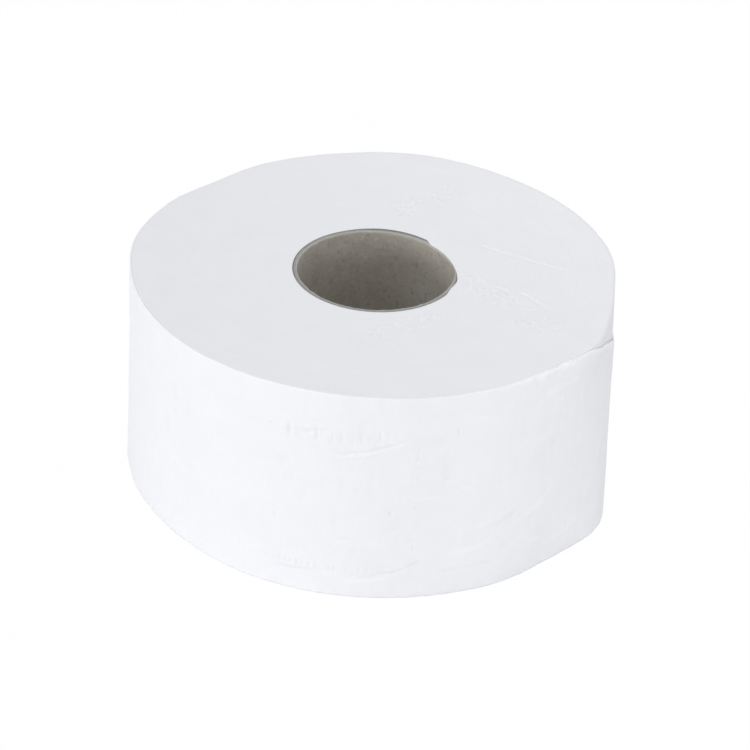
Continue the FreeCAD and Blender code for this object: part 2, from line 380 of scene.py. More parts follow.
def line_distance(x, y, line):
    """Distance from the bowed line: offset across it, and overshoot past its ends."""
    start_x, start_y, end_x, end_y, bow = (value * MM for value in line)
    length = math.hypot(end_x - start_x, end_y - start_y)
    along_x, along_y = (end_x - start_x) / length, (end_y - start_y) / length
    along = (x - start_x) * along_x + (y - start_y) * along_y
    share = np.clip(along / length, 0, 1)
    across = (y - start_y) * along_x - (x - start_x) * along_y - 4 * bow * share * (1 - share)
    past = np.maximum(0, np.maximum(-along, along - length))
    return across, past


def roughened(azimuth, radius):
    """1 in the middle of each rough band, fading out to its sides, with much of it left smooth."""
    x, y = plan(azimuth, radius)
    share = 0
    for start_x, start_y, end_x, end_y, half_width in ROUGH_BANDS:
        across, past = line_distance(x, y, (start_x, start_y, end_x, end_y, 0))
        share = share + ramp(BAND_PLATEAU - np.hypot(across, past) / (half_width * MM))
    patchy = lattice_noise(x / PATCH_X + 90, y / PATCH_Y + 90, seed=72)
    return share * ramp(PATCH_MEAN + PATCH_CONTRAST * patchy)


def rough_relief(azimuth, radius):
    """Fine unevenness in the rough bands."""
    x, y = plan(azimuth, radius)
    fine = lattice_noise(x / PIT_X + 90, y / PIT_Y + 90, seed=71)
    return ROUGHNESS * roughened(azimuth, radius) * fine


def face_relief(azimuth, radius, rim, seed):
    """The turns' levels and a broad unevenness, dying away at the outer rim."""
    x, y = plan(azimuth, radius)
    broad = lattice_noise(x / FACE_BLOB + 50, y / FACE_BLOB + 50, seed + 1)
    level = TURN_RELIEF * turn_level(azimuth, radius, seed) + FACE_RELIEF * broad
    return level * ramp((rim - radius) / RIM_MARGIN)


# %% [markdown]
# One long slit and two short ones cross the upper end face at the right. There the
# turns were pressed and their edges stand up as a thin bright lip. A slit is a line
# from one point to another with a bow in it. Its lip is a bell curve of the distance
# from it, broken by a seeded unevenness, with a faint hollow beside it.

# %% Slits in the upper end face
# Each row: start x, y, end x, y, bow to the left, all in millimetres.
SLITS = (
    (40.5, 21.8, 70.0, 7.6, -0.5),
    (54.0, -11.3, 64.6, -22.4, 0.8),
    (44.0, -7.2, 49.0, -10.6, 0.3),
)
LIP_HEIGHT = 0.30 * MM
LIP_HALF_WIDTH = 0.5 * MM
LIP_SHADE, LIP_SHADE_OFFSET = 0.55, 0.95 * MM
LIP_WANDER, LIP_WANDER_STEP = 0.45 * MM, 2.6 * MM
LIP_MEAN, LIP_BREAKS, LIP_BREAK_STEP = 0.6, 0.5, 1.7 * MM
FACE_LEVEL = WEB - 0.40 * MM
FOOT_LEVEL = 0.20 * MM


def slit_lips(azimuth, radius):
    """Bell curves of the distance from every slit, less a weaker one beside each, added up."""
    x, y = plan(azimuth, radius)
    total = 0
    for slit in SLITS:
        across, past = line_distance(x, y, slit)
        wander = LIP_WANDER * lattice_noise(x / LIP_WANDER_STEP + 20, slit[0], seed=81)
        weight = LIP_MEAN + LIP_BREAKS * lattice_noise(x / LIP_BREAK_STEP + 20, slit[1], seed=82)
        ends = np.exp(-((past / (2 * LIP_HALF_WIDTH)) ** 2))
        bell = np.exp(-(((across + wander) / LIP_HALF_WIDTH) ** 2))
        beside = np.exp(-(((across + wander + LIP_SHADE_OFFSET) / LIP_HALF_WIDTH) ** 2))
        total = total + weight * ends * (bell - LIP_SHADE * beside)
    return total


# %% [markdown]
# The last sheet covers the turns nearly all the way round. It starts at the back,
# where it comes out from under its own free end, and that end hangs loose at the
# right. The body below it is one sheet thinner, so that the two never cut into
# each other.

# %% Where the last sheet lies
SHEET = 0.6 * MM
SNUG = 0.03 * MM
SHEET_START, SHEET_END = 24, 382
ROOT_START, ROOT_END = 316, 328
TEAR_START, BARE_SPAN = 328.5, 8


def along_sheet(azimuth):
    """The azimuth as the sheet counts it, from its start on."""
    return (azimuth - SHEET_START) % 360 + SHEET_START


def under_sheet(azimuth):
    """1 where the sheet lies on the turns, falling to 0 where it leaves them."""
    return 1 - ramp((along_sheet(azimuth) - ROOT_START) / (ROOT_END - ROOT_START))


def bare_rim(azimuth):
    """1 where the rim of the turns shows beside the tear, 0 where the sheet reaches it."""
    return ramp((along_sheet(azimuth) - TEAR_START) / BARE_SPAN)


def turns_radius(azimuth, height):
    """Outline of the roll, less the sheet's thickness where the sheet lies on it."""
    return wound_radius(azimuth, height) - (SHEET + SNUG) * under_sheet(azimuth)


# %% [markdown]
# One closed section makes the whole winding: out over the upper end face, down
# under the sheet, in over the lower end face and up the bore. The end faces get
# most of the rows, because that is where the turns show.

# %% The wound turns
EDGE_ROUND, LOOSE_ROUND = 0.05 * MM, 0.8 * MM
PAPER_GAP = 0.18 * MM
WIDE_GAP, WIDE_MIDDLE, WIDE_HALF_WIDTH = 0.5 * MM, 80, 40
LIP_ROUND = 0.25 * MM
TURNS_COLUMNS, FACE_ROWS, LOWER_ROWS, SIDE_ROWS = 440, 112, 58, 24


def paper_bore(azimuth, height):
    """Inside of the first turn: the board's outside, a gap that is wider behind, and the offsets."""
    gap = PAPER_GAP + WIDE_GAP * hump(azimuth, WIDE_MIDDLE, WIDE_HALF_WIDTH) * near_rim(height, RIM_REACH)
    flare = WORN_FLARE * near_rim(height, RIM_REACH)
    offsets = worn(azimuth, height) - dent(azimuth, height) - squeeze(azimuth, height)
    return CORE_OUTSIDE + gap + flare + offsets


def make_turns():
    """Section loop: upper face, outer side, lower face, bore, with rounded corners."""
    azimuth = np.linspace(0, 360, TURNS_COLUMNS, endpoint=False)[None, :]
    quarter = spread(CORNER_ROWS, 0, np.pi / 2)
    sine, cosine = np.sin(quarter), np.cos(quarter)
    bore_top, bore_foot = paper_bore(azimuth, WEB), paper_bore(azimuth, 0)
    rim_top, rim_foot = turns_radius(azimuth, WEB), turns_radius(azimuth, 0)
    soft = EDGE_ROUND + (LOOSE_ROUND - EDGE_ROUND) * bare_rim(azimuth)
    face_radius = bore_top + LIP_ROUND + spread(FACE_ROWS, 0, 1) * (rim_top - soft - bore_top - LIP_ROUND)
    lips = slit_lips(azimuth, face_radius)
    rough = roughened(azimuth, face_radius)
    face_height = FACE_LEVEL + face_relief(azimuth, face_radius, rim_top - soft, seed=11) + LIP_HEIGHT * lips
    face_height = face_height + rough_relief(azimuth, face_radius)
    inner_edge, edge = face_height[:1], face_height[-1:]

    lower_rim = rim_foot - EDGE_ROUND
    lower_radius = lower_rim - spread(LOWER_ROWS, 0, 1) * (lower_rim - bore_foot - LIP_ROUND)
    lower_height = FOOT_LEVEL + face_relief(azimuth, lower_radius, lower_rim, seed=17)
    lower_edge, lower_inner = lower_height[:1], lower_height[-1:]

    down = spread(SIDE_ROWS, 0, 1)
    side_height = edge - soft - down * (edge - soft - lower_edge - EDGE_ROUND)
    bore_height = lower_inner + LIP_ROUND + down * (inner_edge - lower_inner - 2 * LIP_ROUND)
    radius = loop_of(
        face_radius,
        rim_top - soft + soft * sine[1:],
        turns_radius(azimuth, side_height[1:-1]),
        lower_rim + EDGE_ROUND * cosine,
        lower_radius[1:],
        bore_foot + LIP_ROUND - LIP_ROUND * sine[1:],
        paper_bore(azimuth, bore_height[1:-1]),
        bore_top + LIP_ROUND - LIP_ROUND * cosine[:-1],
    )
    height = loop_of(
        face_height,
        edge - soft + soft * cosine[1:],
        side_height[1:-1],
        lower_edge + EDGE_ROUND - EDGE_ROUND * sine,
        lower_height[1:],
        lower_inner + LIP_ROUND - LIP_ROUND * cosine[1:],
        bore_height[1:-1],
        inner_edge - LIP_ROUND + LIP_ROUND * sine[:-1],
    )
    piece = carry_round("wound_turns", azimuth, radius, height)
    on_face = np.zeros_like(radius)
    on_face[:FACE_ROWS] = 1
    keep(piece, "end_face", on_face + (height < 2 * FOOT_LEVEL))
    # Painted shade in the gap at the core, on the paper's bore.
    keep(piece, "gap_shade", (radius < paper_bore(azimuth, height) + 0.5 * LIP_ROUND) * 1.0)
    elsewhere = np.zeros((len(radius) - FACE_ROWS, TURNS_COLUMNS))
    # These values also paint a highlight on the lips and painted shade beside them.
    keep(piece, "slit", loop_of(lips, elsewhere))
    keep(piece, "rough", loop_of(rough, elsewhere))
    return piece


turns = make_turns()

# %% [markdown]
# The end of the sheet is loose. It stands a little off the roll, bulges at the foot
# where it has been bent, gapes further round, and lifts again at its free edge behind.
# Its upper corner is torn off on a slant, so its edge leaves the rim, runs down to the
# right and sags there. The turn that shows above the tear lies in shade.

# %% The loose end and its torn edge
STAND_OFF, STAND_OFF_LEVEL = 0.15 * MM, 1.15
BULGE, BULGE_MIDDLE, BULGE_HALF_WIDTH = 3.4 * MM, 339, 17
FREE_LIFT, FREE_START = 1.7 * MM, 358
GAPE, GAPE_MIDDLE, GAPE_HALF_WIDTH = 0.4 * MM, 360, 20
GAPE_FROM_FOOT, GAPE_FROM_RIM = 2.0, 2.4
TEAR_SLOPE = math.radians(22.6)
TEAR_SOFTNESS = 1.5 * MM
SAG, SAG_MIDDLE, SAG_HALF_WIDTH = 3.4 * MM, 362, 23
SET_BACK = 0.04 * MM
FRAY, FRAY_STEPS, FRAY_SPAN = 0.3 * MM, 1.9, 8
WAVER, WAVER_STEPS = 0.05 * MM, 0.4


def tail_lift(azimuth, height):
    """Stand-off, a hump that is full at the foot, one at mid height, and a ramp to the free edge."""
    share = np.clip(height / WEB, 0, 1)
    loose = STAND_OFF * ramp((azimuth - ROOT_START) / (BULGE_MIDDLE - ROOT_START)) * (STAND_OFF_LEVEL - share)
    bulge = BULGE * hump(azimuth, BULGE_MIDDLE, BULGE_HALF_WIDTH) * ramp(1 - share)
    gape = GAPE * hump(azimuth, GAPE_MIDDLE, GAPE_HALF_WIDTH)
    gape = gape * ramp(GAPE_FROM_FOOT * share) * ramp(GAPE_FROM_RIM * (1 - share))
    return loose + bulge + gape + FREE_LIFT * ramp((azimuth - FREE_START) / (SHEET_END - FREE_START))


def sheet_top(azimuth):
    """Rim's height, less a slant that starts softly at the tear, less a sag and a fine fray."""
    arc = PAPER_OUTSIDE * np.radians(azimuth - TEAR_START)
    softened = np.sqrt(arc * arc + TEAR_SOFTNESS**2)
    fall = math.tan(TEAR_SLOPE) * (arc + softened) / 2
    torn = ramp((azimuth - TEAR_START) / FRAY_SPAN)
    fray = FRAY * (1 + lattice_noise(azimuth * FRAY_STEPS, 0, seed=23)) * torn
    sag = SAG * hump(azimuth, SAG_MIDDLE, SAG_HALF_WIDTH) * ramp(azimuth - SAG_MIDDLE + SAG_HALF_WIDTH)
    waver = WAVER * lattice_noise(azimuth * WAVER_STEPS, 0, seed=24)
    return FACE_LEVEL - SET_BACK + waver - fall - fray - sag


# %% [markdown]
# The mill presses the two plies together with knurled wheels. They leave two rows
# of small upright dents near the edges of the sheet, and the row of holes that the
# sheets are torn at runs up between them. Handling adds creases and soft wrinkles.
# All are small changes of the radius, worked out for the whole grid at once.

# %% Crimps, holes, creases and wrinkles
TOOTH_SHIFT, TOOTH_RISE = 0.28, 0.3
TOOTH_MEAN, TOOTH_UNEVEN, TOOTH_FADE = 0.7, 0.4, 0.35
ROW_RISE_BEFORE, ROW_RISE_SPAN, ROW_ENDS = 12, 10, 1.5


def arc_from(azimuth, start):
    """Millimetres along the side from a start: the angle in radians times the mean radius."""
    return (azimuth - start) * np.radians(1) * PAPER_OUTSIDE / MM


def crimp_row(azimuth, height, row):
    """Upright dents at even steps of arc: a narrow bell across each, a wide one along it."""
    first, last, level, rise, pitch, tall, wide, seed = row
    arc = arc_from(azimuth, first)
    tooth = np.round(arc / pitch)
    shift = TOOTH_SHIFT * pitch * lattice_noise(tooth * 1.7, 0.3, seed)
    across = (arc - tooth * pitch - shift) / wide
    middle = level + rise * ramp((azimuth - last + ROW_RISE_BEFORE) / ROW_RISE_SPAN)
    along = (height / MM - middle - TOOTH_RISE * lattice_noise(tooth * 2.3, 4.3, seed)) / tall
    weight = TOOTH_MEAN + TOOTH_UNEVEN * lattice_noise(tooth * 3.1, 8.3, seed)
    weight = weight - TOOTH_FADE * (azimuth - first) / (last - first)
    inside = ramp((azimuth - first) / ROW_ENDS + 1) * ramp((last - azimuth) / ROW_ENDS + 1)
    return inside * weight * np.exp(-(across**2) - along**4)


# Each row: first and last azimuth, height and its rise at the end, pitch, tall, wide, seed.
UPPER_CRIMPS = (258, 279, 67.7, 3.0, 3.4, 2.4, 0.60, 31)
LOWER_CRIMPS = (240, 279, 12.0, 0.0, 2.35, 1.3, 0.50, 32)
CRIMP_DEPTH = 0.35 * MM

# Each line: azimuth and height at its start, its middle and its end, its half width
# in millimetres, and how far it stands in or out, in millimetres.
CREASES = (
    ((260, 61.0), (271, 63.0), (283, 71.5), 0.55, -0.26),
    ((259, 59.8), (271, 61.7), (283, 70.1), 0.7, 0.20),
    ((265, 8.0), (275, 10.3), (286, 18.3), 0.55, -0.30),
    ((264, 6.8), (275, 9.0), (286, 16.9), 0.7, 0.22),
    ((248, 8.8), (255, 9.4), (266, 11.0), 0.6, -0.24),
    ((262, 24.6), (268, 24.9), (275, 25.8), 0.4, -0.22),
    ((280, 41.8), (288, 43.6), (296, 45.6), 0.8, 0.30),
    ((286, 10.6), (294, 10.7), (303, 11.4), 0.8, -0.26),
    ((303, 14.4), (309, 13.6), (317, 12.6), 0.8, 0.28),
    ((286, 18.0), (303, 21.0), (324, 38.0), 1.6, 0.20),
    ((296, 23.6), (302, 26.4), (309, 30.2), 0.9, -0.17),
    ((295, 26.6), (303, 29.8), (313, 32.0), 1.2, 0.22),
    ((300, 60.0), (312, 57.0), (328, 62.0), 2.8, 0.20),
    ((330, 20.0), (338, 42.0), (342, 66.0), 3.2, 0.24),
    ((300, 4.0), (318, 8.0), (334, 16.0), 2.2, 0.26),
    ((287, 73.5), (297, 74.0), (308, 77.0), 1.2, 0.15),
    ((312, 74.0), (322, 76.0), (334, 72.0), 1.8, 0.20),
)

# Each dimple: azimuth, height, half width and half height in millimetres, and how far
# it stands in or out, in millimetres.
DIMPLES = (
    (247, 68.4, 0.6, 0.9, -0.34),
    (251.5, 68.2, 0.9, 2.3, -0.33),
    (253, 68.0, 0.7, 2.2, 0.26),
    (256.5, 68.6, 2.2, 0.8, -0.34),
    (260, 70.2, 2.2, 0.6, -0.30),
    (250.5, 48.3, 0.8, 1.3, 0.30),
    (249, 30.7, 0.6, 1.3, -0.26),
    (276, 37.0, 0.8, 0.8, -0.34),
    (277, 30.0, 1.3, 0.5, -0.26),
    (291, 69.5, 0.5, 2.4, -0.24),
    (289, 50.5, 0.9, 0.8, -0.27),
    (298, 52.0, 2.4, 2.0, -0.26),
    (302.5, 45.0, 0.8, 0.8, -0.24),
    (307, 83.4, 1.3, 1.0, 0.26),
    (313, 72.0, 0.6, 2.6, 0.26),
    (318, 52.0, 0.6, 1.7, -0.34),
    (320, 70.0, 1.0, 1.3, 0.34),
    (324, 13.0, 0.9, 1.0, 0.34),
)
CREASE_ENDS, CREASE_WANDER, CREASE_STEP = 5, 0.5, 2.5


def dimple(azimuth, height, mark):
    """A bell curve of the distance from one place on the side."""
    middle, level, wide, tall, out = mark
    across = arc_from(azimuth, middle) / wide
    return out * MM * np.exp(-(across**2) - ((height / MM - level) / tall) ** 2)


def crease(azimuth, height, line):
    """A bell curve of the height above a bowed line, fading out over its two ends."""
    (start, low), (middle, mid), (end, high), wide, out = line
    share = (azimuth - start) / (end - start)
    bend = (middle - start) / (end - start)
    bow = (mid - low - (high - low) * bend) / (bend * (1 - bend))
    level = low + (high - low) * share + bow * share * (1 - share)
    ends = ramp(share * CREASE_ENDS) * ramp((1 - share) * CREASE_ENDS)
    wander = CREASE_WANDER * lattice_noise(azimuth / CREASE_STEP, wide * 9, seed=41)
    return out * MM * ends * np.exp(-(((height / MM - level - wander) / wide) ** 2))


# The holes' sizes and levels are in millimetres.
HOLE_AZIMUTH, HOLE_PITCH, HOLE_WIDE, HOLE_TALL, HOLE_WANDER = 281.8, 4.3, 0.55, 1.1, 0.4
LOWEST_HOLE, HIGHEST_HOLE, HOLES_FADE = 8, 70, 3
HOLE_DEPTH, HOLE_MEAN, HOLE_UNEVEN = 0.55 * MM, 0.6, 0.4


def tear_holes(azimuth, height):
    """Small dents one above another where the sheets are perforated."""
    arc = arc_from(azimuth, HOLE_AZIMUTH)
    level = height / MM
    step = np.round(level / HOLE_PITCH)
    along = level - step * HOLE_PITCH
    weight = HOLE_MEAN + HOLE_UNEVEN * lattice_noise(step * 2.9, 3.3, seed=51)
    inside = ramp((level - LOWEST_HOLE) / HOLES_FADE) * ramp((HIGHEST_HOLE - level) / HOLES_FADE)
    wander = HOLE_WANDER * lattice_noise(step * 1.3, 9.1, seed=52)
    return inside * weight * np.exp(-(((arc - wander) / HOLE_WIDE) ** 2) - (along / HOLE_TALL) ** 2)


# Each row: how far it stands out, its steps in degrees and in metres, and its seed.
BROAD_PUCKER, FINE_PUCKER = (0.14 * MM, 9, 26 * MM, 61), (0.06 * MM, 1.6, 7 * MM, 62)
FOLDS = (0.12 * MM, 3.4, 6 * MM, 63)


def sheet_relief(azimuth, height):
    """Soft pucker and folds, creases and dimples out and in, crimps and holes in."""
    relief = 0
    for depth, degrees, rise, seed in (BROAD_PUCKER, FINE_PUCKER):
        relief = relief + depth * lattice_noise(azimuth / degrees, height / rise, seed)
    depth, degrees, rise, seed = FOLDS
    relief = relief + depth * (0.5 - np.abs(lattice_noise(azimuth / degrees, height / rise, seed)))
    relief = relief + sum(crease(azimuth, height, line) for line in CREASES)
    relief = relief + sum(dimple(azimuth, height, mark) for mark in DIMPLES)
    for row in (UPPER_CRIMPS, LOWER_CRIMPS):
        relief = relief - CRIMP_DEPTH * crimp_row(azimuth, height, row)
    return relief - HOLE_DEPTH * tear_holes(azimuth, height)


# %% [markdown]
# The sheet itself is a thin closed shell. Its section goes up the outer face, round
# the upper edge, down the inner face and round the lower edge. The columns are
# close together at the front, where the crimps and creases are, and further apart
# at the back.

# %% The last sheet
OUTER_ROWS, INNER_ROWS = 150, 12
# Each run of columns: first and last azimuth, and the step, in degrees.
COLUMN_RUNS = (
    (SHEET_START, 236, 1.0),
    (236, 292, 0.28),
    (292, 330, 0.45),
    (330, SHEET_END + 0.5, 0.8),
)
EDGE_FLAT = 0.04 * MM
# The sheet's bright upper edge, wider in tufts by the tear, is a painted highlight.
EDGE_BRIGHT, TORN_BRIGHT, TUFT_BRIGHT = 0.7 * MM, 0.7 * MM, 3.3 * MM
TORN_SPAN = 4
TUFT_AZIMUTH, TUFT_HALF_WIDTH = 318, 15
TUFT_MEAN, TUFT_STEPS, TUFT_TALL = 0.4, 0.9, 2.2 * MM
EDGE_AT_LEFT, FULL_EDGE_FROM, FULL_EDGE_SPAN = 0.35, 285, 25
# Dents, sunken creases and holes get painted shade, which also stands for the crimps' greyer pressed paper.
PRESSED_AND_SHADE_SPAN, PRESSED_AND_SHADE_FROM = 0.32 * MM, 0.09 * MM
# Relief that stands out gets a painted highlight.
RAISED_HIGHLIGHT_SPAN, RAISED_HIGHLIGHT_FROM, RAISED_HIGHLIGHT_SHARE = 0.2 * MM, 0.16 * MM, 0.3
RELIEF_LIMIT, RELIEF_DEEPEST = 0.27 * MM, 0.8 * SHEET


def bright_edge(azimuth, from_edge):
    """Painted highlight: a bell curve of the distance from the edge, wide in tufts by the tear, weak at the
    left.
    """
    tufts = np.clip(TUFT_MEAN + lattice_noise(azimuth * TUFT_STEPS, from_edge / TUFT_TALL, seed=25), 0, 1)
    reach = EDGE_BRIGHT + TUFT_BRIGHT * hump(azimuth, TUFT_AZIMUTH, TUFT_HALF_WIDTH) * tufts
    reach = reach + TORN_BRIGHT * ramp((azimuth - TEAR_START) / TORN_SPAN)
    weight = EDGE_AT_LEFT + (1 - EDGE_AT_LEFT) * ramp((azimuth - FULL_EDGE_FROM) / FULL_EDGE_SPAN)
    return weight * np.exp(-((from_edge / reach) ** 2))


def make_sheet():
    """Section loop of the shell at columns that are closest in front."""
    azimuth = np.concatenate([np.arange(*run) for run in COLUMN_RUNS])[None, :]
    edge = spread(3, 0, np.pi)
    top, foot = sheet_top(azimuth), FOOT_LEVEL + 0 * azimuth
    up = foot + spread(OUTER_ROWS, 0, 1) * (top - foot)
    down = top - spread(INNER_ROWS, 0, 1) * (top - foot)
    over = (SHEET + SNUG) * (1 - under_sheet(azimuth))
    bare = wound_radius(azimuth, up) + over + tail_lift(azimuth, up)
    inside = wound_radius(azimuth, down) + over + tail_lift(azimuth, down)
    outer = bare + np.clip(sheet_relief(azimuth, up), -RELIEF_DEEPEST, RELIEF_LIMIT)
    curl = EDGE_FLAT * np.sin(edge)
    radius = loop_of(
        outer,
        inside[:1] - SHEET / 2 + SHEET / 2 * np.cos(edge[1:-1]),
        inside - SHEET,
        inside[-1:] - SHEET / 2 - SHEET / 2 * np.cos(edge[1:-1]),
    )
    height = loop_of(up, top + curl[1:-1], down, foot - curl[1:-1])
    piece = carry_round("last_sheet", azimuth, radius, np.minimum(height, WEB), capped=True)
    relief = np.where(np.arange(len(radius))[:, None] < OUTER_ROWS, sheet_relief(azimuth, height), 0)
    # Painted highlight on the raised relief, kept with the painted highlight along the upper edge.
    raised_highlight = RAISED_HIGHLIGHT_SHARE * np.clip((relief - RAISED_HIGHLIGHT_FROM) / RAISED_HIGHLIGHT_SPAN, 0, 1)
    keep(piece, "edge", np.maximum(bright_edge(azimuth, np.maximum(top - height, 0)), raised_highlight))
    # Painted shade in the dents, sunken creases and holes, partly the crimps' greyer pressed paper.
    keep(piece, "pressed", np.clip((-relief - PRESSED_AND_SHADE_FROM) / PRESSED_AND_SHADE_SPAN, 0, 1))
    return piece


sheet = make_sheet()

# %% [markdown]
# The visible pieces take the place of the imported solids, and ride on the part's one
# body.

# %% Places in the frame
for piece, node, slot in (
    (core, "core_tube", "core_board"),
    (turns, "paper_winding", "tissue_paper"),
    (sheet, "paper_winding", "tissue_paper"),
):
    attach(piece, "root")
    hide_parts(node)
    print(piece.name, "stands for", node)

# %% [markdown]
# A finish is a graph of nodes. Sums of sockets read best as plain Python, so one
# small class wraps a socket and adds a Math node for each operator. Every other
# node comes from one method of the graph.

# %% Sums of sockets
class Value:
    """A socket that takes part in sums."""

    def __init__(self, graph, socket):
        self.graph = graph
        self.socket = socket

    def math(self, operation, *others):
        """One Math node on this value and others."""
        return self.graph.node("ShaderNodeMath", {"operation": operation}, dict(enumerate((self, *others))))

    def swapped(self, operation, other):
        """The same with this value second."""
        return self.graph.node("ShaderNodeMath", {"operation": operation}, {0: other, 1: self})

    def __add__(self, other):
        return self.math("ADD", other)

    def __sub__(self, other):
        return self.math("SUBTRACT", other)

    def __mul__(self, other):
        return self.math("MULTIPLY", other)

    def __truediv__(self, other):
        return self.math("DIVIDE", other)

    def __radd__(self, other):
        return self.swapped("ADD", other)

    def __rsub__(self, other):
        return self.swapped("SUBTRACT", other)

    def __rmul__(self, other):
        return self.swapped("MULTIPLY", other)

    def __rtruediv__(self, other):
        return self.swapped("DIVIDE", other)

    def clamped(self):
        """The value held between 0 and 1."""
        return self.graph.node("ShaderNodeClamp", {}, {0: self})


class Graph:
    """The nodes of a new material or world, with its main shader ready to be fed."""

    def __init__(self, block, shader_name="Principled BSDF"):
        self.block = block
        block.use_nodes = True
        self.tree = block.node_tree
        self.shader = self.tree.nodes[shader_name]

    def feed(self, socket, value):
        """Link a value into a socket, or set a plain number or colour on it."""
        if isinstance(value, Value):
            self.tree.links.new(value.socket, socket)
        else:
            socket.default_value = value

    def feed_shader(self, values):
        """Feed the main shader's sockets, each by its name."""
        for name, value in values.items():
            self.feed(self.shader.inputs[name], value)

    def node(self, kind, settings, inputs, output=0):
        """A node of a kind: its settings first, then what goes into its sockets."""
        node = self.tree.nodes.new(kind)
        for key, setting in settings.items():
            setattr(node, key, setting)
        for key, value in inputs.items():
            self.feed(node.inputs[key], value)
        return Value(self, node.outputs[output])

    def place(self):
        """x, y and z of the point in the roll's own frame, in metres."""
        spot = self.node("ShaderNodeTexCoord", {}, {}, "Object")
        return [self.node("ShaderNodeSeparateXYZ", {}, {0: spot}, axis) for axis in range(3)]

    def noise(self, x, y, z, detail=2.0, roughness=0.5):
        """Cloudy noise about 0.5 at a place, where a step of 1 is one blob."""
        spot = self.node("ShaderNodeCombineXYZ", {}, {0: x, 1: y, 2: z})
        inputs = {"Vector": spot, "Scale": 1.0, "Detail": detail, "Roughness": roughness}
        return self.node("ShaderNodeTexNoise", {}, inputs)

    def blobs(self, place, size, detail=2.0, roughness=0.5):
        """The same noise at a place in metres, with blobs of one size along every axis."""
        return self.noise(*(value / size for value in place), detail, roughness)

    def attribute(self, name):
        """A number kept at the points of the mesh."""
        return self.node("ShaderNodeAttribute", {"attribute_name": name}, {}, "Fac")

    def mixed(self, share, one, other):
        """One colour where the share is 0, the other where it is 1."""
        return self.node("ShaderNodeMix", {"data_type": "RGBA"}, {0: share, 6: one, 7: other}, 2)

    def finish(self, colour, roughness, relief, distance):
        """Feed the shader: colour, roughness, and relief as a bump of some metres."""
        bump = self.node("ShaderNodeBump", {}, {"Strength": 1.0, "Distance": distance, "Height": relief})
        self.feed_shader({"Base Color": colour, "Roughness": roughness, "Normal": bump})
        return self.block


# %% [markdown]
# Tissue is matt and nearly white, with the faintest blue. It is creped: scraped off
# a drying cylinder, which leaves fine ridges across the web, so they stand upright
# on the roll. The colour hardly changes, and the relief does most of the work. The
# sheet's upper edge and whatever stands out of it get a painted highlight; its dents,
# sunken creases and holes get painted shade, with the crimps' pressed paper a little greyer too.

# %% Tissue
PAPER_WHITE = (0.850, 0.864, 0.892, 1)
PAPER_SHADE = (0.805, 0.820, 0.855, 1)
# Painted highlight colour for the sheet's upper edge and raised relief.
PAPER_HIGHLIGHT = (0.93, 0.94, 0.955, 1)
# Painted shade colour for dents, sunken creases and holes, partly greyer pressed paper.
PAPER_PRESSED_AND_SHADE = (0.77, 0.785, 0.82, 1)
TISSUE_GLOSS, TISSUE_FUZZ, FUZZ_ROUGHNESS = 0.12, 0.08, 0.6
CREPE_WIDE, CREPE_TALL, CREPE_RELIEF = 0.9 * MM, 5 * MM, 0.12 * MM
SHEET_FIBRE, SHEET_CLOUD_WIDE, SHEET_CLOUD_TALL = 0.7 * MM, 14 * MM, 10 * MM
SHEET_ROUGHNESS = 0.92


def soft_paper(graph):
    """What every face of the tissue has: no gloss and a little fuzz."""
    graph.feed_shader({"Specular IOR Level": TISSUE_GLOSS})
    graph.feed_shader({"Sheen Weight": TISSUE_FUZZ, "Sheen Roughness": FUZZ_ROUGHNESS})


def make_sheet_finish():
    """Crepe ridges that are short round the roll and long up it, over cloudy fibres, with a painted highlight
    at the edge and on raised relief, and painted shade in the dents.
    """
    graph = Graph(bpy.data.materials.new("creped_tissue"))
    soft_paper(graph)
    x, y, z = graph.place()
    round_about = y.math("ARCTAN2", x) * PAPER_OUTSIDE
    crepe = graph.noise(round_about / CREPE_WIDE, z / CREPE_TALL, 0.0, detail=3.0, roughness=0.6)
    fibres = graph.blobs((x, y, z), SHEET_FIBRE, detail=3.0)
    cloud = graph.noise(x / SHEET_CLOUD_WIDE, y / SHEET_CLOUD_WIDE, z / SHEET_CLOUD_TALL, detail=3.0)
    shade = (cloud * 1.6 - 0.5).clamped() * 0.55 + (fibres - 0.5) * 0.5
    plain = graph.mixed(shade.clamped(), PAPER_WHITE, PAPER_SHADE)
    # Painted shade in dents and sunken creases, with the crimps' pressed paper greyer.
    dent_shaded = graph.mixed(graph.attribute("pressed"), plain, PAPER_PRESSED_AND_SHADE)
    # Painted highlight along the upper edge and on raised relief.
    colour = graph.mixed(graph.attribute("edge"), dent_shaded, PAPER_HIGHLIGHT)
    return graph.finish(colour, SHEET_ROUGHNESS, crepe * 0.6 + fibres * 0.4, CREPE_RELIEF)


sheet.data.materials.append(make_sheet_finish())

# %% [markdown]
# The end faces are cut edges: hundreds of turns side by side. Their pattern depends
# on the distance from the axis, with the azimuth's share of a turn taken off, so it
# spirals. The slits' lips get a painted highlight, with a line of painted shade beside
# them. In the rough bands the pits get painted shade and the tufts a painted highlight.
# The side of the turns, which shows where the last sheet is torn away, is painted
# greyer as shade, and the paper's bore, in the gap at the core, is painted dark as shade.

# %% Cut turns
FINE_PITCH = 0.62 * MM
# Painted highlight on the slits' lips.
SLIT_HIGHLIGHT = (0.95, 0.96, 0.975, 1)
# Painted shade colour for the paper's bore, in the gap at the core.
GAP_SHADE = (0.36, 0.355, 0.34, 1)
# Painted shade on the side of the turns, where the torn sheet bares it.
UNDER_SIDE_SHADE = (0.80, 0.812, 0.835, 1)
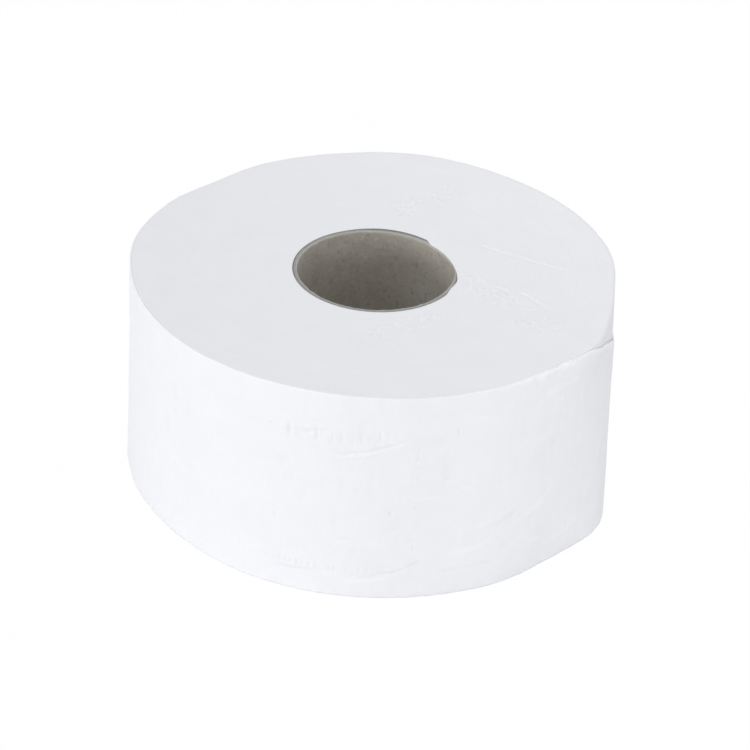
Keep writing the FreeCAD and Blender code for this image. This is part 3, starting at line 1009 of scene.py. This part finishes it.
# Painted shade for pits and beside the slits' lips, and a painted highlight for tufts.
PIT_SHADE, TUFT_HIGHLIGHT = (0.74, 0.755, 0.79, 1), (0.92, 0.93, 0.95, 1)
PIT_BELOW, TUFT_ABOVE, FLECK_CONTRAST = 0.45, 0.56, 5
FLECK_X, FLECK_Y = 1.2 * MM, 1.7 * MM
STREAK, CUT_FIBRE, CUT_CLOUD = 1.3 * MM, 0.8 * MM, 16 * MM
CUT_ROUGHNESS, CUT_RELIEF = 0.94, 0.14 * MM


def make_turns_finish():
    """Spiral ridges with an uneven height, faint clouds, and painted shade and highlights: flecks in the
    rough bands, bright slits, the side and the gap at the core.
    """
    graph = Graph(bpy.data.materials.new("cut_tissue_turns"))
    soft_paper(graph)
    x, y, z = graph.place()
    distance = (x * x + y * y).math("SQRT")
    share = y.math("ARCTAN2", x) / (2 * math.pi)
    turn = distance / FINE_PITCH - share
    ridge = (turn * (2 * math.pi)).math("SINE") * 0.5 + 0.5
    uneven = graph.noise(distance / STREAK, share * 3.0, 0.0, detail=3.0, roughness=0.7)
    fibres = graph.blobs((x, y, z), CUT_FIBRE, detail=3.0)
    cloud = graph.noise(x / CUT_CLOUD, y / CUT_CLOUD, 0.0, detail=4.0, roughness=0.6)
    on_face = graph.attribute("end_face")
    relief = (ridge * 0.05 + uneven * 0.25) * on_face + fibres * 0.3
    shade = (cloud * 1.8 - 0.6).clamped() * 0.6 + (uneven - 0.5) * on_face * 0.3 + (fibres - 0.5) * 0.4
    plain = graph.mixed(shade.clamped(), PAPER_WHITE, PAPER_SHADE)
    fleck = graph.noise(x / FLECK_X, y / FLECK_Y, 0.0)
    rough = graph.attribute("rough")
    # Painted shade in the pits and a painted highlight on the tufts of the rough bands.
    pit_shaded = graph.mixed((rough * (PIT_BELOW - fleck) * FLECK_CONTRAST).clamped(), plain, PIT_SHADE)
    tuft_lit = graph.mixed((rough * (fleck - TUFT_ABOVE) * FLECK_CONTRAST).clamped(), pit_shaded, TUFT_HIGHLIGHT)
    # Painted shade beside each lip, and a painted highlight on it.
    beside = graph.mixed((0 - graph.attribute("slit")).clamped(), tuft_lit, PIT_SHADE)
    bright = graph.mixed(graph.attribute("slit").clamped(), beside, SLIT_HIGHLIGHT)
    # Painted shade on the side of the turns.
    side_shaded = graph.mixed(on_face, UNDER_SIDE_SHADE, bright)
    # Painted shade in the gap at the core, on the paper's bore.
    colour = graph.mixed(graph.attribute("gap_shade"), side_shaded, GAP_SHADE)
    return graph.finish(colour, CUT_ROUGHNESS, relief, CUT_RELIEF)


turns.data.materials.append(make_turns_finish())

# %% [markdown]
# The core is recycled board: grey-brown, with darker and paler specks of the waste
# that it was made from. Specks are the crests and the troughs of one noise. At the cut
# rim the plies are seen end on: the innermost is pale, and the outermost is painted dark
# as shade of the gap between core and paper. The bore is painted paler at the right
# as light, and paler still further down.

# %% Recycled board
BOARD = (0.43, 0.405, 0.36, 1)
BOARD_DARK = (0.27, 0.25, 0.22, 1)
BOARD_PALE = (0.56, 0.54, 0.495, 1)
BOARD_RIM = (0.30, 0.31, 0.305, 1)
BOARD_PEELED = (0.52, 0.49, 0.40, 1)
# The outermost ply's dark tone is painted shade of the gap between core and paper.
INNER_PLY, OUTER_PLY_SHADE = (0.47, 0.48, 0.47, 1), (0.24, 0.24, 0.235, 1)
# Painted light colour for the bore at the right.
BOARD_PAINTED_LIGHT = (0.60, 0.58, 0.53, 1)
BOARD_CLOUD, BOARD_FIBRE, BOARD_FIBRE_TALL, BOARD_SPECK = 7 * MM, 0.9 * MM, 0.6 * MM, 1.6 * MM
RIM_DEPTH, RIM_FADE = 0.9 * MM, 0.4 * MM
PLY_CONTRAST = 3.5
BOARD_GLOSS, BOARD_ROUGHNESS, BOARD_RELIEF = 0.2, 0.88, 0.15 * MM


def make_board_finish():
    """Clouds and two kinds of speck on the board's colour, painted light in the bore at the right, and three
    tones of ply at the rim, the outermost as painted shade.
    """
    graph = Graph(bpy.data.materials.new("recycled_board"))
    graph.feed_shader({"Specular IOR Level": BOARD_GLOSS})
    x, y, z = graph.place()
    cloud = graph.blobs((x, y, z), BOARD_CLOUD, detail=4.0, roughness=0.65)
    fibre = graph.noise(x / BOARD_FIBRE, y / BOARD_FIBRE, z / BOARD_FIBRE_TALL, detail=3.0)
    speck = graph.blobs((x, y, z), BOARD_SPECK)
    dark = (speck * 9 - 5.2).clamped()
    pale = ((1 - speck) * 9 - 5.4).clamped()
    plain = graph.mixed((cloud * 2.2 - 0.8).clamped() * 0.5 + (fibre - 0.5) * 0.6, BOARD, BOARD_DARK)
    # Painted light in the bore at the right.
    painted_light = graph.mixed(graph.attribute("painted_light") * (0.3 + cloud), plain, BOARD_PAINTED_LIGHT)
    specked = graph.mixed(dark * 0.5, painted_light, BOARD_DARK)
    lighter = graph.mixed(pale * 0.5, specked, BOARD_PALE)
    at_rim = ((z - (WEB - RIM_DEPTH)) / RIM_FADE).clamped()
    across = graph.attribute("across") + (fibre - 0.5) * 0.5
    inner = graph.mixed((1 - across * PLY_CONTRAST).clamped(), BOARD_RIM, INNER_PLY)
    # Painted shade of the gap on the outermost ply.
    outer = graph.mixed((across * PLY_CONTRAST - (PLY_CONTRAST - 1)).clamped(), inner, OUTER_PLY_SHADE)
    rim = graph.mixed(graph.attribute("peeled"), outer, BOARD_PEELED)
    colour = graph.mixed(at_rim * (0.35 + fibre * 0.8).clamped(), lighter, rim)
    return graph.finish(colour, BOARD_ROUGHNESS, fibre * 0.6 + cloud * 0.4, BOARD_RELIEF)


core.data.materials.append(make_board_finish())

# %% [markdown]
# The stage is a white table that runs out of sight. It has to look white, yet keep
# the roll's soft shadow, so its finish is a white surface mixed with a plain white
# glow that only the camera, mirrors and glass see. The roll gets none of the glow,
# only what the white surface sends back.

# %% The table
FLOOR_SIZE = 9.0
GLOW_SHARE = 0.985
TABLE_WHITE = (0.95, 0.95, 0.95, 1)


def seen_directly(graph):
    """1 for rays from the camera, a mirror or glass, and 0 for rays that carry light."""
    rays = ("Is Camera Ray", "Is Glossy Ray", "Is Transmission Ray")
    camera, glossy, through = (graph.node("ShaderNodeLightPath", {}, {}, ray) for ray in rays)
    return camera.math("MAXIMUM", glossy).math("MAXIMUM", through)


def make_table():
    """One flat square, just under the roll."""
    half = FLOOR_SIZE / 2
    corners = [(-half, -half, 0), (half, -half, 0), (half, half, 0), (-half, half, 0)]
    mesh = bpy.data.meshes.new("table")
    mesh.from_pydata(corners, [], [(0, 1, 2, 3)])
    graph = Graph(bpy.data.materials.new("white_table"))
    graph.feed_shader({"Base Color": TABLE_WHITE, "Roughness": 1.0, "Specular IOR Level": 0.0})
    glow = graph.node("ShaderNodeEmission", {}, {"Color": (1, 1, 1, 1), "Strength": 1.0})
    surface = Value(graph, graph.shader.outputs[0])
    inputs = {0: seen_directly(graph) * GLOW_SHARE, 1: surface, 2: glow}
    both = graph.node("ShaderNodeMixShader", {}, inputs)
    graph.feed(graph.tree.nodes["Material Output"].inputs["Surface"], both)
    mesh.materials.append(graph.block)
    return show("table", mesh)


make_table()

# %% [markdown]
# The light is plain and soft. A low lamp at the left and one in front make the left of
# the side the brightest, and hardly touch the end face. Two small ones close above the
# right of the roll light the end face there a little more, and one high at the left
# reaches into the bore. The world fills in the rest, and looks white to the camera.

# %% Lamps and world
AIM = Vector((0, 0, WEB / 2))
# Each row: name, place in metres, width, watts.
LAMPS = (
    ("left_lamp", (-1.7, -0.3, 0.3), 0.5, 8.4),
    ("front_lamp", (0.4, -1.8, 0.3), 0.5, 7.95),
    ("high_left_lamp", (-1.1, 0.1, 1.4), 0.8, 2.1),
    ("near_top_lamp", (0.15, -0.3, 0.75), 0.3, 0.88),
    ("near_right_lamp", (0.26, 0.34, 0.42), 0.2, 0.52),
)
WORLD_LIGHT = 0.571

for name, place, width, watts in LAMPS:
    data = bpy.data.lights.new(name, "AREA")
    data.size = width
    data.energy = watts
    lamp = show(name, data)
    lamp.location = place
    lamp.rotation_euler = (AIM - lamp.location).to_track_quat("-Z", "Y").to_euler()

bpy.context.scene.world = bpy.data.worlds.new("white_room")
room = Graph(bpy.context.scene.world, "Background")
room.feed_shader({"Color": (WORLD_LIGHT, WORLD_LIGHT, WORLD_LIGHT, 1)})
white = room.node("ShaderNodeBackground", {}, {"Color": (1, 1, 1, 1), "Strength": 1.0})
ambient = Value(room, room.shader.outputs[0])
sky = room.node("ShaderNodeMixShader", {}, {0: seen_directly(room), 1: ambient, 2: white})
room.feed(room.tree.nodes["World Output"].inputs["Surface"], sky)
bpy.context.scene.view_settings.view_transform = "Standard"
print(f"{len(LAMPS)} lamps and a world at {WORLD_LIGHT}")

# %% [markdown]
# The photograph was taken from above and in front, through a long lens held a few
# degrees off level. The camera stands on a line from the middle of the roll, at
# that elevation and distance, and is rolled about its own axis.

# %% Camera
ELEVATION = math.radians(31.48)
ROLL = math.radians(2.99)
CAMERA_DISTANCE = 1.72965
LENS_MM, SENSOR_MM = 221.04, 36.0
AIM_RIGHT, AIM_UP = 1.46 * MM, -2.68 * MM

backwards = Vector((0, -math.cos(ELEVATION), math.sin(ELEVATION)))
level_right = Vector((1, 0, 0))
level_up = backwards.cross(level_right)
right = math.cos(ROLL) * level_right + math.sin(ROLL) * level_up
up = backwards.cross(right)
target = AIM + AIM_RIGHT * right + AIM_UP * up
spot = AIM + CAMERA_DISTANCE * backwards
outward = (spot - target).normalized()
right = (right - right.dot(outward) * outward).normalized()
up = outward.cross(right)

camera_data = bpy.data.cameras.new("camera")
camera_data.lens = LENS_MM
camera_data.sensor_width = SENSOR_MM
camera = show("camera", camera_data)
camera.matrix_world = Matrix((
    (right.x, up.x, outward.x, spot.x),
    (right.y, up.y, outward.y, spot.y),
    (right.z, up.z, outward.z, spot.z),
    (0, 0, 0, 1),
))
bpy.context.scene.camera = camera
print(f"camera {spot.length:.3f} m away, lens {LENS_MM} mm")
